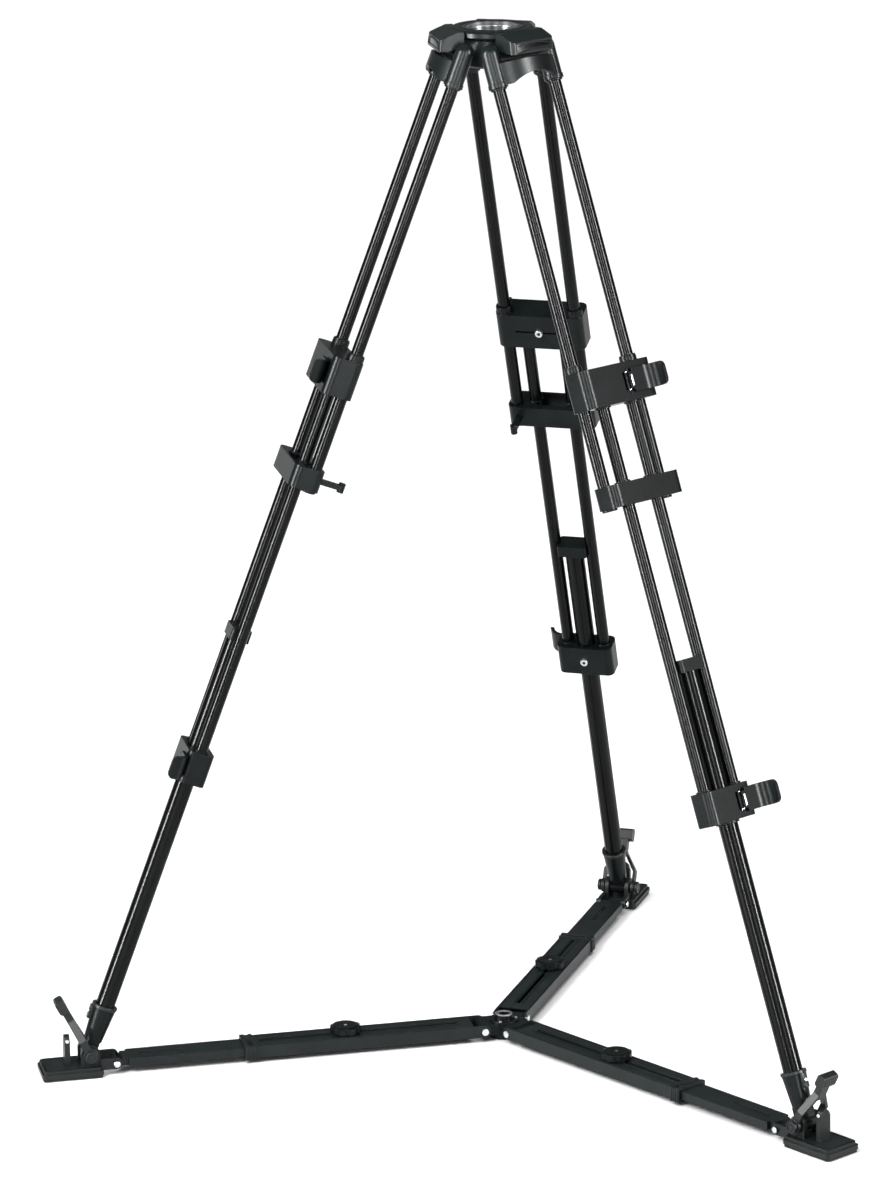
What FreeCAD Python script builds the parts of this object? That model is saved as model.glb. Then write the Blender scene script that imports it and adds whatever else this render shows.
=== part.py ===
import FreeCAD, Part
import math
import os

import Sketcher

# Twin-tube video tripod with a 75 mm bowl, two telescopic stages and a ground spreader.
# World frame: millimetres, +Z up, origin on the floor under the centre of the bowl.
# Leg 1 stands towards +Y, legs 2 and 3 follow at 120 and 240 degrees about +Z.
# Leg pieces are drawn in the leg's frame: X across the leg, Y outwards square to the leg,
# Z up along the leg, from the point where the leg's axis meets the floor.
# Foot and spreader pieces are drawn in the arm's frame: X across, Y radial, Z up.

os.makedirs("parts", exist_ok=True)

SIZES = {
    # whole object
    "rim_height": 1500.0,
    "leg_tilt": 21.0,
    "foot_circle": 630.0,
    # bowl and crown
    "ball_radius": 37.75,
    "ball_bore_depth": 6.0,
    "seat_neck_radius": 33.0,
    "seat_radius": 44.0,
    "seat_depth": 24.0,
    "ring_radius": 59.0,
    "ring_depth": 12.0,
    "drum_radius": 47.0,
    "drum_depth": 54.0,
    "drum_hole_radius": 34.0,
    "hood_half_width": 39.5,
    "hood_reach": 85.5,
    "hood_drop": 27.5,
    "hood_wall": 4.0,
    "lug_half_width": 29.5,
    "hinge_along": 1571.0,
    "hinge_pin_radius": 4.0,
    "hinge_boss_radius": 10.5,
    "hinge_pin_reach": 43.0,
    # leg tubes
    "stage_radius": 9.0,
    "stage_wall": 1.5,
    "upper_spread": 53.0,
    "upper_setback": 12.5,
    "middle_spread": 28.0,
    "lower_radius": 14.0,
    "lower_wall": 1.8,
    "running_gap": 0.3,
    "pin_gap": 0.05,
    # places along the leg
    "yoke_base": 1532.0,
    "dome_centre": 1581.0,
    "upper_tube_top": 1560.0,
    "bridge_base": 927.0,
    "bridge_height": 32.0,
    "upper_clamp_base": 1067.0,
    "upper_clamp_height": 55.0,
    "lower_clamp_base": 466.0,
    "lower_clamp_height": 48.0,
    "cap_base": 682.0,
    "cap_height": 18.0,
    "ankle_top": 106.0,
    "ankle_along": 34.0,
    # sockets and clamps
    "socket_radius": 13.0,
    "clamp_half_width": 66.0,
    "clamp_back": 26.0,
    "clamp_front": 19.5,
    "lower_clamp_half_width": 43.0,
    "bolt_radius": 3.0,
    "bolt_head_radius": 5.5,
    "upper_lever_place": 15.0,
    "lower_lever_place": 19.0,
    "lever_pin_normal": 17.0,
    "lever_pin_radius": 2.5,
    "lever_height": 34.0,
    "lever_root_height": 24.0,
    "lever_thickness": 5.0,
    "lever_strap": 25.0,
    "lever_curl": 25.0,
    # spreader
    "hub_radius": 22.0,
    "hub_height": 26.0,
    "hub_ring_radius": 14.0,
    "hub_hole_radius": 8.0,
    "hub_pin_place": 34.0,
    "foot_pin_place": 580.0,
    "arm_pin_height": 16.0,
    "arm_pin_radius": 3.5,
    "arm_pin_head": 5.0,
    "tang_radius": 8.0,
    "arm_base": 7.0,
    "arm_height": 18.0,
    "arm_half_width": 25.0,
    "arm_wall": 2.5,
    "arm_side_wall": 3.0,
    "arm_start": 50.0,
    "arm_end": 392.0,
    "slider_gap": 0.5,
    "slider_start": 214.0,
    "slider_end": 562.0,
    "slot_start": 71.0,
    "slot_end": 368.0,
    "slot_half_width": 3.1,
    "knob_place": 238.0,
    "knob_radius": 22.5,
    "knob_base": 27.0,
    "stud_radius": 2.6,
    # foot
    "plate_start": 600.0,
    "plate_end": 690.0,
    "plate_half_width": 32.0,
    "pad_thickness": 4.0,
    "plate_top": 15.0,
    "cheek_gap": 13.0,
    "cheek_thickness": 6.0,
    "cheek_radius": 14.0,
    "ankle_eye_radius": 11.0,
    "ankle_eye_half_width": 12.0,
    "ankle_pin_radius": 5.0,
    "foot_lever_length": 88.0,
    "foot_lever_lean": 27.0,
}
LEGS = (1, 2, 3)
LEG_STEP = 120.0
AXES = {"x": FreeCAD.Vector(1, 0, 0), "y": FreeCAD.Vector(0, 1, 0), "z": FreeCAD.Vector(0, 0, 1)}

doc = FreeCAD.newDocument("Tripod")
sheet = doc.addObject("Spreadsheet::Sheet", "Sizes")
for row, (alias, value) in enumerate(SIZES.items(), start=1):
    sheet.set("A%d" % row, alias.replace("_", " "))
    sheet.set("B%d" % row, str(value))
    sheet.setAlias("B%d" % row, alias)
doc.recompute()


class Dim:
    """A length that knows its value and the sheet expression that drives it."""

    def __init__(self, value, text):
        self.value = value
        self.text = text

    def __str__(self):
        return self.text

    def __float__(self):
        return float(self.value)

    def __neg__(self):
        return Dim(-self.value, "(-%s)" % self.text)

    def __add__(self, other):
        return Dim(self.value + float(other), "(%s + %s)" % (self, other))

    def __sub__(self, other):
        return Dim(self.value - float(other), "(%s - %s)" % (self, other))

    def __radd__(self, other):
        return Dim(float(other) + self.value, "(%s + %s)" % (other, self))

    def __rsub__(self, other):
        return Dim(float(other) - self.value, "(%s - %s)" % (other, self))

    def __mul__(self, factor):
        return Dim(self.value * float(factor), "(%s * %s)" % (self, factor))

    def __truediv__(self, factor):
        return Dim(self.value / float(factor), "(%s / %s)" % (self, factor))


class Cells:
    """Gives each cell of the sheet as a Dim, by its alias."""

    def __getattr__(self, alias):
        return Dim(float(sheet.get(alias)), "Sizes.%s" % alias)


def sine(angle):
    return Dim(math.sin(math.radians(angle.value)), "sin(%s)" % angle)


def cosine(angle):
    return Dim(math.cos(math.radians(angle.value)), "cos(%s)" % angle)


size = Cells()
tilt = size.leg_tilt
hinge_radius = size.foot_circle - size.hinge_along * sine(tilt) - size.upper_setback * cosine(tilt)
hinge_height = size.hinge_along * cosine(tilt) - size.upper_setback * sine(tilt)
ankle_radius = size.foot_circle - size.ankle_along * sine(tilt)
ankle_height = size.ankle_along * cosine(tilt)


# ---------------------------------------------------------------- building blocks

def turn(axis, degrees):
    return FreeCAD.Rotation(AXES[axis], degrees)


def put(obj, at, rotation=None):
    """Sets an operand's rotation and binds its position to the sheet."""
    if rotation is not None:
        obj.Placement = FreeCAD.Placement(FreeCAD.Vector(0, 0, 0), rotation)
    for axis, place in zip("xyz", at):
        obj.setExpression("Placement.Base." + axis, str(place))
    return obj


def rod(name, radius, length, at, along="z"):
    """A cylinder that starts at a point and runs along an axis."""
    obj = doc.addObject("Part::Cylinder", name)
    obj.setExpression("Radius", str(radius))
    obj.setExpression("Height", str(length))
    facing = {"x": turn("y", 90), "y": turn("x", -90), "z": None}[along]
    return put(obj, at, facing)


def block(name, low, high):
    """A box between two corners."""
    obj = doc.addObject("Part::Box", name)
    for side, start, end in zip(("Length", "Width", "Height"), low, high):
        start = Dim(float(start), str(start))
        obj.setExpression(side, str(Dim(float(end), str(end)) - start))
    return put(obj, low)


def ball(name, radius, at):
    obj = doc.addObject("Part::Sphere", name)
    obj.setExpression("Radius", str(radius))
    return put(obj, at)


def taper(name, low_radius, high_radius, length, at):
    obj = doc.addObject("Part::Cone", name)
    obj.setExpression("Radius1", str(low_radius))
    obj.setExpression("Radius2", str(high_radius))
    obj.setExpression("Height", str(length))
    return put(obj, at)


def fuse(name, *shapes):
    obj = doc.addObject("Part::MultiFuse", name)
    obj.Shapes = list(shapes)
    return obj


def cut(name, base, *tools):
    obj = doc.addObject("Part::Cut", name)
    obj.Base = base
    obj.Tool = tools[0] if len(tools) == 1 else fuse(name + "_tools", *tools)
    return obj


def common(name, first, second):
    obj = doc.addObject("Part::Common", name)
    obj.Base = first
    obj.Tool = second
    return obj


def group(name, *shapes):
    """Separate solids kept side by side in one node."""
    obj = doc.addObject("Part::Compound", name)
    obj.Links = list(shapes)
    return obj


def turned(name, source, degrees):
    """A copy of an operand, turned about the world's Z axis."""
    obj = doc.addObject("Part::Compound", name)
    obj.Links = [source]
    return put(obj, (0, 0, 0), turn("z", degrees))


def round_edges(name, base, radius, chosen):
    """Fillets the edges of an operand that the test picks."""
    doc.recompute()
    obj = doc.addObject("Part::Fillet", name)
    obj.Base = base
    obj.Edges = [(i, radius, radius) for i, edge in enumerate(base.Shape.Edges, start=1) if chosen(edge)]
    return obj


def runs_along(axis):
    """Picks the straight edges that are parallel to an axis."""

    def test(edge):
        ends = edge.Vertexes
        if len(ends) < 2 or not isinstance(edge.Curve, (Part.Line, Part.LineSegment)):
            return False
        way = (ends[1].Point - ends[0].Point).normalize()
        return abs(way.dot(AXES[axis])) > 0.9999

    return test


def outline(body, name, plane, points):
    """A closed sketch on one of the body's planes; each corner is bound to the sheet."""
    sketch = body.newObject("Sketcher::SketchObject", name)
    support = [f for f in body.Origin.OriginFeatures if f.Role == plane][0]
    sketch.AttachmentSupport = [(support, "")]
    sketch.MapMode = "FlatFace"
    corners = [FreeCAD.Vector(float(a), float(b), 0) for a, b in points]
    count = len(corners)
    for i in range(count):
        sketch.addGeometry(Part.LineSegment(corners[i], corners[(i + 1) % count]), False)
    for i in range(count):
        sketch.addConstraint(Sketcher.Constraint("Coincident", i, 2, (i + 1) % count, 1))
    for i, point in enumerate(points):
        for kind, place in zip(("DistanceX", "DistanceY"), point):
            index = sketch.addConstraint(Sketcher.Constraint(kind, -1, 1, i, 1, float(place)))
            sketch.setExpression("Constraints[%d]" % index, str(place))
    return sketch


def pad(name, plane, points, depth):
    """A body padded evenly to both sides of an origin plane."""
    body = doc.addObject("PartDesign::Body", name)
    feature = body.newObject("PartDesign::Pad", name + "_pad")
    feature.Profile = outline(body, name + "_outline", plane, points)
    feature.SideType = "Symmetric"
    feature.setExpression("Length", str(depth))
    return body


def revolved(name, points):
    """A body turned about Z from a half section in the XZ plane."""
    body = doc.addObject("PartDesign::Body", name)
    sketch = outline(body, name + "_section", "XZ_Plane", points)
    feature = body.newObject("PartDesign::Revolution", name + "_turning")
    feature.Profile = sketch
    feature.ReferenceAxis = (sketch, ["V_Axis"])
    feature.Angle = 360.0
    return body


nodes = []


def keep(obj, label, placement=None):
    """Names a finished sub-part and sets it in its place."""
    obj.Label = label
    if placement is not None:
        obj.Placement = placement
    nodes.append(obj)


def arm_frame(leg):
    return FreeCAD.Placement(FreeCAD.Vector(0, 0, 0), turn("z", LEG_STEP * (leg - 1)))


def leg_frame(leg):
    foot = FreeCAD.Placement(FreeCAD.Vector(0, float(size.foot_circle), 0), turn("x", float(size.leg_tilt)))
    return arm_frame(leg).multiply(foot)



# ---------------------------------------------------------------- crown and bowl

def make_crown():
    rim = size.rim_height
    ring_base = rim - size.ring_depth
    seat_base = rim - size.seat_depth
    drum_base = rim - size.drum_depth
    bevel = 3.0
    core = revolved("crown_core", (
        (size.drum_hole_radius, drum_base),
        (size.drum_radius - bevel, drum_base),
        (size.drum_radius, drum_base + bevel),
        (size.drum_radius, ring_base - bevel),
        (size.ring_radius, ring_base + bevel),
        (size.ring_radius, rim - bevel),
        (size.ring_radius - bevel, rim),
        (size.seat_radius, rim),
        (size.seat_radius, seat_base),
        (size.drum_hole_radius, seat_base),
    ))
    # One hood covers each leg's hinge: a sloping roof, an outer face and two cheeks.
    roof_start = 49.0
    roof_fall = 11.0
    face_base = rim - size.hood_drop
    solid_hood = pad("hood_block", "YZ_Plane", (
        (roof_start, face_base + 5),
        (roof_start, rim - 1),
        (size.ring_radius, rim - 1),
        (size.hood_reach - 2, rim - roof_fall),
        (size.hood_reach, face_base),
        (size.hood_reach - 12, face_base),
    ), size.hood_half_width * 2)
    rounded_hood = round_edges("hood_rounded", solid_hood, 6.0, lambda edge: (
        edge.BoundBox.YMin > float(size.hood_reach) - 2.5 and edge.BoundBox.ZLength > 5
    ))
    hollow = pad("hood_hollow", "YZ_Plane", (
        (roof_start - 5, face_base - 2),
        (roof_start - 5, rim - 12),
        (size.ring_radius - 2, rim - 12),
        (size.hood_reach - 2 - size.hood_wall, rim - roof_fall - size.hood_wall - 1),
        (size.hood_reach - size.hood_wall, face_base - 2),
    ), (size.hood_half_width - size.hood_wall) * 2)
    panel = block("hood_panel", (-30, size.hood_reach - 2, face_base + 4),
                  (30, size.hood_reach + 5, face_base + 13))
    hood = cut("hood", rounded_hood, hollow, panel)
    boss = rod("lug_boss", size.hinge_boss_radius, size.lug_half_width * 2,
               (-size.lug_half_width, hinge_radius, hinge_height), "x")
    web = block("lug_web",
                (-size.lug_half_width, size.drum_radius - 8, hinge_height - size.hinge_boss_radius),
                (size.lug_half_width, hinge_radius, hinge_height + size.hinge_boss_radius))
    drill = rod("lug_drill", size.hinge_pin_radius, size.lug_half_width * 2 + 2,
                (-size.lug_half_width - 1, hinge_radius, hinge_height), "x")
    solids = [core]
    drills = [rod("crown_well", size.drum_hole_radius, size.seat_depth + size.drum_depth,
                  (0, 0, drum_base - 5)),
              rod("crown_seat_bore", size.seat_radius, size.seat_depth + 5, (0, 0, seat_base))]
    for leg in LEGS:
        for source in (hood, boss, web):
            solids.append(turned("%s_%d" % (source.Name, leg), source, LEG_STEP * (leg - 1)))
        drills.append(turned("lug_drill_%d" % leg, drill, LEG_STEP * (leg - 1)))
    keep(cut("crown_cut", fuse("crown_solids", *solids), *drills), "crown_casting")

    seat = revolved("bowl_seat_turning", (
        (size.ball_radius, rim),
        (size.ball_radius, rim - size.ball_bore_depth),
        (size.seat_neck_radius, seat_base + 6),
        (size.seat_neck_radius, seat_base),
        (size.seat_radius, seat_base),
        (size.seat_radius, rim),
    ))
    keep(seat, "bowl_seat")

    pin = rod("hinge_pin", size.hinge_pin_radius, size.hinge_pin_reach * 2,
              (-size.hinge_pin_reach, hinge_radius, hinge_height), "x")
    keep(group("hinge_pins", *[turned("hinge_pin_%d" % leg, pin, LEG_STEP * (leg - 1)) for leg in LEGS]),
         "crown_hinge_pins")


# ---------------------------------------------------------------- leg stages

def tube(name, radius, wall, base, top, across, normal):
    outer = rod(name + "_outer", radius, top - base, (across, normal, base))
    inner = rod(name + "_inner", radius - wall, top - base, (across, normal, base))
    return cut(name, outer, inner)


def tube_pair(name, base, top, spread, normal):
    pair = [tube("%s_%s" % (name, side), size.stage_radius, size.stage_wall, base, top, across, normal)
            for side, across in (("left", -spread), ("right", spread))]
    return group(name, *pair)


def two_rods(name, radius, length, spread, normal, base):
    return [rod("%s_%s" % (name, side), radius, length, (across, normal, base))
            for side, across in (("left", -spread), ("right", spread))]


def make_yoke(leg):
    """The casting that holds both upper tubes and hangs on the crown's hinge pin."""
    name = "yoke_%d" % leg
    normal = -size.upper_setback
    length = size.dome_centre - size.yoke_base
    sockets = two_rods(name + "_socket", size.socket_radius, length, size.upper_spread, normal,
                       size.yoke_base)
    collars = two_rods(name + "_collar", size.socket_radius + 1, 6, size.upper_spread, normal, size.yoke_base)
    domes = [ball(name + "_dome_left", size.socket_radius, (-size.upper_spread, normal, size.dome_centre)),
             ball(name + "_dome_right", size.socket_radius, (size.upper_spread, normal, size.dome_centre))]
    stub_gap = 0.5
    stub_start = size.lug_half_width + stub_gap
    stubs = [rod(name + "_stub_right", size.hinge_boss_radius, size.upper_spread - stub_start,
                 (stub_start, normal, size.hinge_along), "x"),
             rod(name + "_stub_left", size.hinge_boss_radius, size.upper_spread - stub_start,
                 (-size.upper_spread, normal, size.hinge_along), "x")]
    # The apron is a bowed band from socket to socket, with an arch cut into its lower edge.
    bow_radius = 80.0
    bow_front = 18.0
    band_top = 1565.0
    band = cut(name + "_band",
               rod(name + "_bow", bow_radius, band_top - size.yoke_base - 2,
                   (0, bow_front - bow_radius, size.yoke_base + 2)),
               rod(name + "_bow_inside", bow_radius - 5, band_top, (0, bow_front - bow_radius, 1000)))
    front = common(name + "_band_front", band,
                   block(name + "_front_half", (-size.upper_spread, -12, size.yoke_base),
                         (size.upper_spread, 30, size.dome_centre)))
    apron = cut(name + "_apron", front, rod(name + "_arch", 75, 60, (0, -20, 1470), "y"))
    bores = two_rods(name + "_bore", size.stage_radius, size.upper_tube_top - size.yoke_base + 1,
                     size.upper_spread, normal, size.yoke_base - 1)
    bore_reach = size.hinge_pin_reach + 0.5
    pin_bore = rod(name + "_pin_bore", size.hinge_pin_radius + size.pin_gap, bore_reach * 2,
                   (-bore_reach, normal, size.hinge_along), "x")
    body = fuse(name + "_solid", *sockets, *collars, *domes, *stubs, apron)
    keep(cut(name, body, *bores, pin_bore), "leg_%d_yoke" % leg, leg_frame(leg))


def rounded_block(name, half_width, back, front, base, height, corner):
    plain = block(name + "_block", (-half_width, -back, base), (half_width, front, base + height))
    return round_edges(name + "_rounded", plain, corner, runs_along("z"))


def make_bridge(leg):
    """Guide at the foot of the upper tubes; the middle tubes slide through its window."""
    name = "bridge_%d" % leg
    frame = rounded_block(name, size.clamp_half_width, size.clamp_back, size.clamp_front,
                          size.bridge_base, size.bridge_height, 12.0)
    through = size.bridge_height + 2
    start = size.bridge_base - 1
    fixed = two_rods(name + "_fixed", size.stage_radius, through, size.upper_spread,
                     -size.upper_setback, start)
    sliding = two_rods(name + "_sliding", size.stage_radius + size.running_gap, through,
                       size.middle_spread, 0, start)
    window = block(name + "_window", (-23.5, -15.5, start), (23.5, 15.5, start + through))
    # A snap hook for a mid-level spreader points inwards from the bridge.
    hook_arm = block(name + "_hook_arm", (-52, -58, size.bridge_base + 12),
                     (-44, -size.clamp_back + 4, size.bridge_base + 20))
    hook_end = rod(name + "_hook_end", 5, 14, (-48, -58, size.bridge_base + 9))
    body = fuse(name + "_solid", frame, hook_arm, hook_end)
    keep(cut(name, body, *fixed, *sliding, window), "leg_%d_bridge" % leg, leg_frame(leg))


def lever_recess(name, pivot, middle):
    return block(name, (pivot - 11, 11.6, middle - 13), (pivot + 9, size.clamp_front + 5, middle + 13))


def lever_pin(name, pivot, middle):
    return rod(name, size.lever_pin_radius, 36, (pivot, size.lever_pin_normal, middle - 18))


def make_upper_clamp(leg):
    """Bracket on top of the middle tubes that grips and slides on the upper tubes."""
    name = "upper_clamp_%d" % leg
    base = size.upper_clamp_base
    height = size.upper_clamp_height
    frame = rounded_block(name, size.clamp_half_width, size.clamp_back, size.clamp_front, base, height, 12.0)
    collars = two_rods(name + "_collar", size.socket_radius - 0.5, 8, size.upper_spread,
                       -size.upper_setback, base + height)
    sliding = two_rods(name + "_sliding", size.stage_radius + size.running_gap, height + 10,
                       size.upper_spread, -size.upper_setback, base - 1)
    fixed = two_rods(name + "_fixed", size.stage_radius, height - 9, size.middle_spread, 0, base - 1)
    middle = base + height / 2
    slit = block(name + "_slit", (-36, -size.clamp_back - 1, middle - 1.5),
                 (36, -size.clamp_back + 5, middle + 1.5))
    drills = [lever_recess(name + "_recess", -size.upper_lever_place, middle),
              lever_pin(name + "_pin_hole", -size.upper_lever_place, middle),
              rod(name + "_bolt_hole", size.bolt_radius, size.clamp_back + 3,
                  (0, -size.clamp_back - 1, middle), "y"),
              slit]
    body = fuse(name + "_solid", frame, *collars)
    keep(cut(name, body, *sliding, *fixed, *drills), "leg_%d_upper_clamp" % leg, leg_frame(leg))


def make_lower_clamp(leg):
    """Clamp at the foot of the middle tubes that grips the single lower tube."""
    name = "lower_clamp_%d" % leg
    base = size.lower_clamp_base
    height = size.lower_clamp_height
    frame = rounded_block(name, size.lower_clamp_half_width, size.clamp_front, size.clamp_front,
                          base, height, 10.0)
    sliding = rod(name + "_sliding", size.lower_radius + size.running_gap, height + 2, (0, 0, base - 1))
    fixed = two_rods(name + "_fixed", size.stage_radius, height, size.middle_spread, 0, base + 4)
    middle = base + height / 2
    drills = [lever_recess(name + "_recess", -size.lower_lever_place, middle),
              lever_pin(name + "_pin_hole", -size.lower_lever_place, middle),
              rod(name + "_bolt_hole", size.bolt_radius, 5, (0, -size.clamp_front - 1, middle), "y")]
    keep(cut(name, frame, sliding, *fixed, *drills), "leg_%d_lower_clamp" % leg, leg_frame(leg))


def clamp_bolt(name, face, depth, middle):
    """A tightening bolt that enters a clamp from its inner face."""
    return fuse(name,
                rod(name + "_shank", size.bolt_radius, depth, (0, -face - 1, middle), "y"),
                rod(name + "_head", size.bolt_head_radius, 4, (0, -face - 4, middle), "y"))


def make_clamp_pins(leg):
    """Lever pins and tightening bolts of both clamps on the middle stage."""
    name = "clamp_pins_%d" % leg
    upper = size.upper_clamp_base + size.upper_clamp_height / 2
    lower = size.lower_clamp_base + size.lower_clamp_height / 2
    pins = [lever_pin(name + "_upper_pin", -size.upper_lever_place, upper),
            lever_pin(name + "_lower_pin", -size.lower_lever_place, lower),
            clamp_bolt(name + "_upper_bolt", size.clamp_back, size.clamp_back, upper),
            clamp_bolt(name + "_lower_bolt", size.clamp_front, 5, lower)]
    keep(group(name, *pins), "leg_%d_clamp_pins" % leg, leg_frame(leg))


def make_lever(leg, label, pivot, middle):
    """Cam lever: a knuckle on its pin, a strap along the clamp and a paddle that curls outwards."""
    name = "%s_%d" % (label, leg)
    height = size.lever_height
    root = size.lever_root_height
    low = middle - height / 2
    root_low = middle - root / 2
    strap_back = size.clamp_front + 1
    strap_front = strap_back + size.lever_thickness
    bend = size.lever_curl
    bend_across = pivot - size.lever_strap
    bend_centre = strap_back + bend
    knuckle = rod(name + "_knuckle", size.lever_thickness, root, (pivot, size.lever_pin_normal, root_low))
    neck = block(name + "_neck", (pivot - 4, size.lever_pin_normal, root_low),
                 (pivot + 3, strap_front, root_low + root))
    strap = block(name + "_strap", (bend_across, strap_back, low), (pivot - 4, strap_front, low + height))
    curl = cut(name + "_curl",
               rod(name + "_curl_outer", bend, height, (bend_across, bend_centre, low)),
               rod(name + "_curl_inner", bend - size.lever_thickness, height,
                   (bend_across, bend_centre, low)))
    quarter = common(name + "_quarter", curl,
                     block(name + "_corner", (bend_across - bend - 1, strap_back - 1, low),
                           (bend_across, bend_centre, low + height)))
    tip = float(bend_centre) - 0.1
    paddle = round_edges(name + "_paddle", quarter, 9.0, lambda edge: (
        edge.BoundBox.YMin > tip and edge.BoundBox.ZLength < 0.1))
    bore = rod(name + "_bore", size.lever_pin_radius + size.pin_gap, 40,
               (pivot, size.lever_pin_normal, middle - 20))
    body = fuse(name + "_solid", knuckle, neck, strap, paddle)
    keep(cut(name, body, bore), "leg_%d_%s" % (leg, label), leg_frame(leg))


def make_lower_tube(leg):
    """The single lower tube, with shallow grooves along its length."""
    name = "lower_tube_%d" % leg
    base = size.ankle_top - 44
    top = size.cap_base + 10
    plain = tube(name + "_plain", size.lower_radius, size.lower_wall, base, top, 0, 0)
    grooves = []
    for index in range(6):
        groove = block("%s_groove_%d" % (name, index), (-1, size.lower_radius - 0.7, base),
                       (1, size.lower_radius + 2, top))
        grooves.append(turned("%s_turned_%d" % (name, index), groove, 30 + 60 * index))
    keep(cut(name, plain, *grooves), "leg_%d_lower_tube" % leg, leg_frame(leg))


def make_slide_cap(leg):
    """Guide on top of the lower tube that runs between the middle tubes."""
    name = "slide_cap_%d" % leg
    plain = rounded_block(name, 22.5, 14.8, 14.8, size.cap_base, size.cap_height, 4.0)
    runners = two_rods(name + "_runner", size.stage_radius + size.running_gap, size.cap_height + 2,
                       size.middle_spread, 0, size.cap_base - 1)
    socket = rod(name + "_socket", size.lower_radius, 11, (0, 0, size.cap_base - 1))
    keep(cut(name, plain, *runners, socket), "leg_%d_slide_cap" % leg, leg_frame(leg))


def make_ankle(leg):
    """Tapered end fitting under the lower tube, with the eye for the foot's pin."""
    name = "ankle_%d" % leg
    cup_base = 52.0
    cup = taper(name + "_cup", 13.5, 18.0, size.ankle_top - cup_base, (0, 0, cup_base))
    half = size.ankle_eye_half_width
    neck = block(name + "_neck", (-half, -9, size.ankle_along), (half, 9, cup_base + 6))
    eye = rod(name + "_eye", size.ankle_eye_radius, half * 2, (-half, 0, size.ankle_along), "x")
    socket = rod(name + "_socket", size.lower_radius, 60, (0, 0, size.ankle_top - 44))
    bore = rod(name + "_bore", size.ankle_pin_radius + size.pin_gap, 40, (-20, 0, size.ankle_along), "x")
    keep(cut(name, fuse(name + "_solid", cup, neck, eye), socket, bore), "leg_%d_ankle" % leg, leg_frame(leg))


# ---------------------------------------------------------------- foot

def both_sides(name, start, thickness, make):
    """Makes a piece of a given thickness on each side of the arm's plane."""
    return [make(name + "_right", start), make(name + "_left", -start - thickness)]


def make_foot(leg):
    name = "foot_%d" % leg
    place = arm_frame(leg)
    step = 3.0
    tread = block(name + "_tread", (-size.plate_half_width, size.plate_start, size.pad_thickness),
                  (size.plate_half_width, size.plate_end, size.plate_top - 5))
    deck = block(name + "_deck", (-size.plate_half_width + step, size.plate_start + step, size.pad_thickness),
                 (size.plate_half_width - step, size.plate_end - step, size.plate_top))
    parts = [round_edges(name + "_tread_rounded", tread, 6.0, runs_along("z")),
             round_edges(name + "_deck_rounded", deck, 5.0, runs_along("z"))]
    cheek = size.cheek_thickness
    lug_gap = 16.5
    lug = 5.5
    head = 3.0
    parts += both_sides(name + "_cheek", size.cheek_gap, cheek, lambda label, start: block(
        label, (start, ankle_radius - size.cheek_radius, size.pad_thickness + 2),
        (start + cheek, ankle_radius + size.cheek_radius, ankle_height)))
    parts += both_sides(name + "_boss", size.cheek_gap, cheek, lambda label, start: rod(
        label, size.cheek_radius, cheek, (start, ankle_radius, ankle_height), "x"))
    parts += both_sides(name + "_head", Dim(28.0, "28"), 3.5, lambda label, start: rod(
        label, 9, 3.5, (start, ankle_radius, ankle_height), "x"))
    parts += both_sides(name + "_lug", Dim(lug_gap, str(lug_gap)), lug, lambda label, start: block(
        label, (start, size.foot_pin_place, size.arm_pin_height - size.tang_radius),
        (start + lug, size.plate_start + 4, size.arm_pin_height + size.tang_radius)))
    parts += both_sides(name + "_lug_end", Dim(lug_gap, str(lug_gap)), lug, lambda label, start: rod(
        label, size.tang_radius, lug, (start, size.foot_pin_place, size.arm_pin_height), "x"))
    head_start = Dim(lug_gap + lug, str(lug_gap + lug))
    parts += both_sides(name + "_pin_head", head_start, head, lambda label, start: rod(
        label, size.arm_pin_head, head, (start, size.foot_pin_place, size.arm_pin_height), "x"))
    parts.append(rod(name + "_ankle_pin", size.ankle_pin_radius, 58, (-29, ankle_radius, ankle_height), "x"))
    parts.append(rod(name + "_arm_pin", size.arm_pin_radius, 46,
                     (-23, size.foot_pin_place, size.arm_pin_height), "x"))
    post_top = 52.0
    parts.append(block(name + "_post", (-10, 646, size.plate_top - 1), (10, 654, post_top)))
    parts.append(rod(name + "_post_top", 8, 8, (0, 646, post_top), "y"))
    keep(fuse(name, *parts), "foot_%d_base" % leg, place)

    inset = 1.5
    sole = block("foot_pad_%d_block" % leg, (-size.plate_half_width + inset, size.plate_start + inset, 0),
                 (size.plate_half_width - inset, size.plate_end - inset, size.pad_thickness))
    keep(round_edges("foot_pad_%d" % leg, sole, 5.0, runs_along("z")), "foot_%d_pad" % leg, place)


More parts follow.
